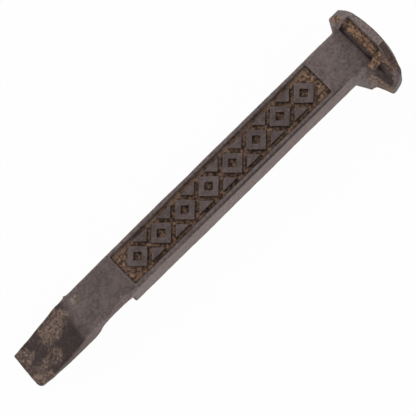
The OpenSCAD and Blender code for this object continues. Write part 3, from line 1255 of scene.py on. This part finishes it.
@dataclass
class PanelFloor:
    """Rusty floor of the sunk panel, rough as it left the sand, with a pale strip along its far edge."""

    node: str = "panel_plate"
    voxel: float = 0.3 * MM
    rounds: int = 1
    spread: float = 0.25 * MM
    waves: Waves = ((3.0, 0.12), (1.1, 0.12))
    probe_h: float = 0.6
    probe_r: float = 3.0
    shadow: Range = (0.1, 0.6)
    shadow_dark: float = 0.5
    strip: float = 1.4
    strip_soft: float = 0.4
    strip_clear: float = 0.75
    rust: float = 0.9
    blotch: Range = (0.2, 0.38)
    piece: bpy.types.Object = field(init=False)

    def build(self) -> bpy.types.Object:
        """Makes the floor, a little wider than its pocket so that no gap shows.

        Returns:
            The piece.
        """
        self.piece = merged_copy("panel_floor", (self.node,))
        low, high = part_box(self.node)
        middle, size = (low + high) / 2, high - low
        grow = Matrix.Diagonal((1 + 2 * self.spread / size.x, 1 + 2 * self.spread / size.y, 1.0, 1.0))
        self.piece.data.transform(Matrix.Translation(middle) @ grow @ Matrix.Translation(-middle))
        remesh(self.piece, self.voxel, self.rounds)
        roughen(self.piece.data, *self.waves)
        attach(self.piece, "root")
        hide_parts(self.node)
        return self.piece

    def gaps(self, around: list[bpy.types.Object]) -> np.ndarray:
        """Measures how far the floor's vertices are from what stands beside them.

        Args:
            around: The pieces that stand on the floor or wall it in.

        Returns:
            The gap in mm at each vertex, no more than the probe's reach.
        """
        vertices = self.piece.data.vertices
        gap = np.full(len(vertices), self.probe_r)
        lift = Vector((0, 0, self.probe_h * MM))
        graph = bpy.context.evaluated_depsgraph_get()
        for other in around:
            tree = BVHTree.FromObject(other, graph)
            near = [tree.find_nearest(vertex.co + lift, self.probe_r * MM)[3] for vertex in vertices]
            gap = np.minimum(gap, [self.probe_r if far is None else far / MM for far in near])
        return gap

    def dress(self, finish: IronFinish, around: list[bpy.types.Object]) -> None:
        """Rusts the floor and paints shade on it beside what stands on it.

        Args:
            finish: The floor's finish.
            around: The pieces that stand on the floor or wall it in.
        """
        mesh = self.piece.data
        y = places(mesh)[0][:, 1]
        strip_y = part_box(self.node)[1].y / MM - self.strip
        strip = ease(y, strip_y, strip_y + self.strip_soft)
        shadow = ease(self.gaps(around), *reversed(self.shadow))
        paint(mesh, {
            Channel.RUST: np.full(len(y), self.rust),
            # Painted shade beside the ornament and the walls, kept off the far edge's strip.
            Channel.DARK: self.shadow_dark * shadow * (1 - self.strip_clear * strip),
            Channel.BLOTCH: self.blotch[0] + self.blotch[1] * strip,
        })
        mesh.materials.append(finish.material())


@dataclass
class Ornament:
    """Raised ornament cast on the panel's floor, with soft edges and rubbed tops.

    Rust and dark are each the amount on the tops and what the sides have beyond it; the sides' dark is dark
    patina and painted shade.
    """

    node: str
    name: str
    voxel: float = 0.17 * MM
    rounds: int = 4
    waves: Waves = ((3.0, 0.08), (1.0, 0.05))
    side: Range = (0.25, 1.2)
    rust: Range = (0.1, 0.5)
    dark: Range = (0.11, 0.54)
    ridge_rounds: int = 8
    ridge: Range = (0.02, 0.08)
    worn: float = 0.2
    piece: bpy.types.Object = field(init=False)

    def build(self) -> bpy.types.Object:
        """Makes the ornament from its node.

        Returns:
            The piece.
        """
        self.piece = merged_copy(self.name, (self.node,))
        remesh(self.piece, self.voxel, self.rounds)
        roughen(self.piece.data, *self.waves)
        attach(self.piece, "root")
        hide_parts(self.node)
        return self.piece

    def dress(self, finish: IronFinish) -> None:
        """Leaves rust, and dark patina with painted shade, on the sides and rubs the tops.

        Args:
            finish: The ornament's finish.
        """
        mesh = self.piece.data
        z = places(mesh)[0][:, 2]
        sunk = ease(z.max() - z, *self.side)
        paint(mesh, {
            Channel.RUST: self.rust[0] + self.rust[1] * sunk,
            Channel.DARK: self.dark[0] + self.dark[1] * sunk,
            Channel.WORN_AND_LIT: self.worn * ease(relief(mesh, self.ridge_rounds), *self.ridge),
        })
        mesh.materials.append(finish.material())


@dataclass
class Floor:
    """Plain pale floor that the spike lies on, white behind the object and lightly shaded under it."""

    reach: float = 4.0
    tint: Rgb = (0.9, 0.9, 0.9)
    white: float = 0.97
    clear: float = 20.0

    def build(self, pieces: list[bpy.types.Object]) -> bpy.types.Object:
        """Lays the floor under the head's back rim and the point's back.

        Args:
            pieces: What lies on the floor.

        Returns:
            The floor.
        """
        spots = np.concatenate([places(piece.data)[0] for piece in pieces])
        rest = spots[spots[:, 2].argmin()]
        ahead = spots[spots[:, 0] < rest[0] - self.clear]
        slope = ((ahead[:, 2] - rest[2]) / (rest[0] - ahead[:, 0])).min()
        turn = Matrix.Rotation(math.atan(slope), 4, "Y")
        bm = bmesh.new()
        bmesh.ops.create_grid(bm, x_segments=1, y_segments=1, size=self.reach)
        bmesh.ops.transform(bm, matrix=Matrix.Translation(Vector(rest) * MM) @ turn, verts=bm.verts)
        made = settle("floor", bm)
        made.data.materials.append(self.material())
        return made

    def material(self) -> bpy.types.Material:
        """Builds the floor's material, which is white to the camera and to reflections.

        Returns:
            The material.
        """
        made = bpy.data.materials.new("pale_floor")
        graph = Graph(made)
        matt = graph.add("ShaderNodeBsdfDiffuse")
        matt.inputs["Color"].default_value = (*self.tint, 1.0)
        blend = graph.add("ShaderNodeMixShader")
        graph.feed(blend.inputs[0], graph.math("MULTIPLY", graph.seen(), self.white))
        graph.feed(blend.inputs[1], matt.outputs[0])
        graph.feed(blend.inputs[2], graph.add("ShaderNodeEmission").outputs[0])
        graph.feed(graph.add("ShaderNodeOutputMaterial").inputs["Surface"], blend.outputs[0])
        return made


@dataclass(frozen=True)
class Lamp:
    """A square softbox that faces the spike: place and size in metres, power in watts."""

    name: str
    place: tuple[float, float, float]
    power: float
    size: float

    def hang(self) -> None:
        """Adds the lamp to the scene, out of the camera's sight."""
        lamp = bpy.data.lights.new(self.name, "AREA")
        lamp.energy = self.power
        lamp.size = self.size
        made = bpy.data.objects.new(self.name, lamp)
        made.location = self.place
        made.rotation_euler = (-Vector(self.place)).to_track_quat("-Z", "Y").to_euler()
        made.visible_camera = False
        bpy.context.scene.collection.objects.link(made)


@dataclass
class Studio:
    """White surround with two soft lamps, and the long lens that looks down on the panel.

    The target and the distance are in mm, the turn and the roll in degrees.
    """

    surround: float = 0.5
    lamps: tuple[Lamp, ...] = (
        Lamp("high_softbox", (0.05, 0.66, 0.46), 2.75, 0.7),
        Lamp("low_softbox", (-0.05, -0.75, 0.27), 2.4, 0.6),
    )
    target: tuple[float, float, float] = (-16.5, -3.56, 7.30)
    distance: float = 700.0
    roll: float = 10.5
    turn: float = 44.5
    lens: float = 174.9
    sensor: float = 36.0
    clip: Range = (0.01, 50.0)

    def light(self) -> None:
        """Sets the surround and hangs the lamps."""
        world = bpy.data.worlds.new("surround")
        bpy.context.scene.world = world
        graph = Graph(world)
        sky = graph.add("ShaderNodeBackground")
        sky.inputs["Color"].default_value = (*WHITE, 1.0)
        level = graph.span(graph.seen(), (0.0, 1.0), (self.surround, 1.0))
        graph.feed(sky.inputs["Strength"], level)
        graph.feed(graph.add("ShaderNodeOutputWorld").inputs["Surface"], sky.outputs[0])
        for lamp in self.lamps:
            lamp.hang()

    def shoot(self) -> None:
        """Sets up the camera at the photograph's angle and plain colour management."""
        turn, roll = math.radians(self.turn), math.radians(self.roll)
        across = Vector((0.0, math.cos(roll), math.sin(roll)))
        back = Vector((0.0, -math.sin(roll), math.cos(roll)))
        along = Vector((1.0, 0.0, 0.0))
        right = along * math.cos(turn) - across * math.sin(turn)
        up = along * math.sin(turn) + across * math.cos(turn)
        lens = bpy.data.cameras.new("long_lens")
        lens.lens = self.lens
        lens.sensor_width = self.sensor
        lens.clip_start, lens.clip_end = self.clip
        made = bpy.data.objects.new("long_lens", lens)
        pose = Matrix((right, up, back)).transposed().to_4x4()
        pose.translation = (Vector(self.target) + back * self.distance) * MM
        made.matrix_world = pose
        bpy.context.scene.collection.objects.link(made)
        bpy.context.scene.camera = made
        bpy.context.scene.view_settings.view_transform = "Standard"


def main() -> None:
    """Builds and dresses the pieces in order, then the stage, the light and the camera."""
    logging.basicConfig(level=logging.INFO, format="%(message)s")
    iron = IronFinish("rubbed_iron", Grain.RUBBED)
    rust = IronFinish("rusted_floor", Grain.COARSE, rust_deep=(0.048, 0.032, 0.025),
                      rust_mid=(0.150, 0.094, 0.067), rust_bright=(0.350, 0.220, 0.150))

    casting = Casting()
    lozenges = Ornament("panel_lozenges", "lozenge_row")
    darts = Ornament("panel_darts", "dart_rows")
    panel = PanelFloor()
    parts = casting.build()
    raised = [lozenges.build(), darts.build()]
    floor_piece = panel.build()
    casting.dress(iron)
    for ornament in (lozenges, darts):
        ornament.dress(iron)
    panel.dress(rust, [*parts, *raised])
    parts = [*parts, *raised, floor_piece]
    for part in parts:
        LOG.info("%s: %d vertices, %d faces", part.name, len(part.data.vertices), len(part.data.polygons))

    Floor().build(parts)
    studio = Studio()
    studio.light()
    studio.shoot()


if __name__ == "__main__":
    main()
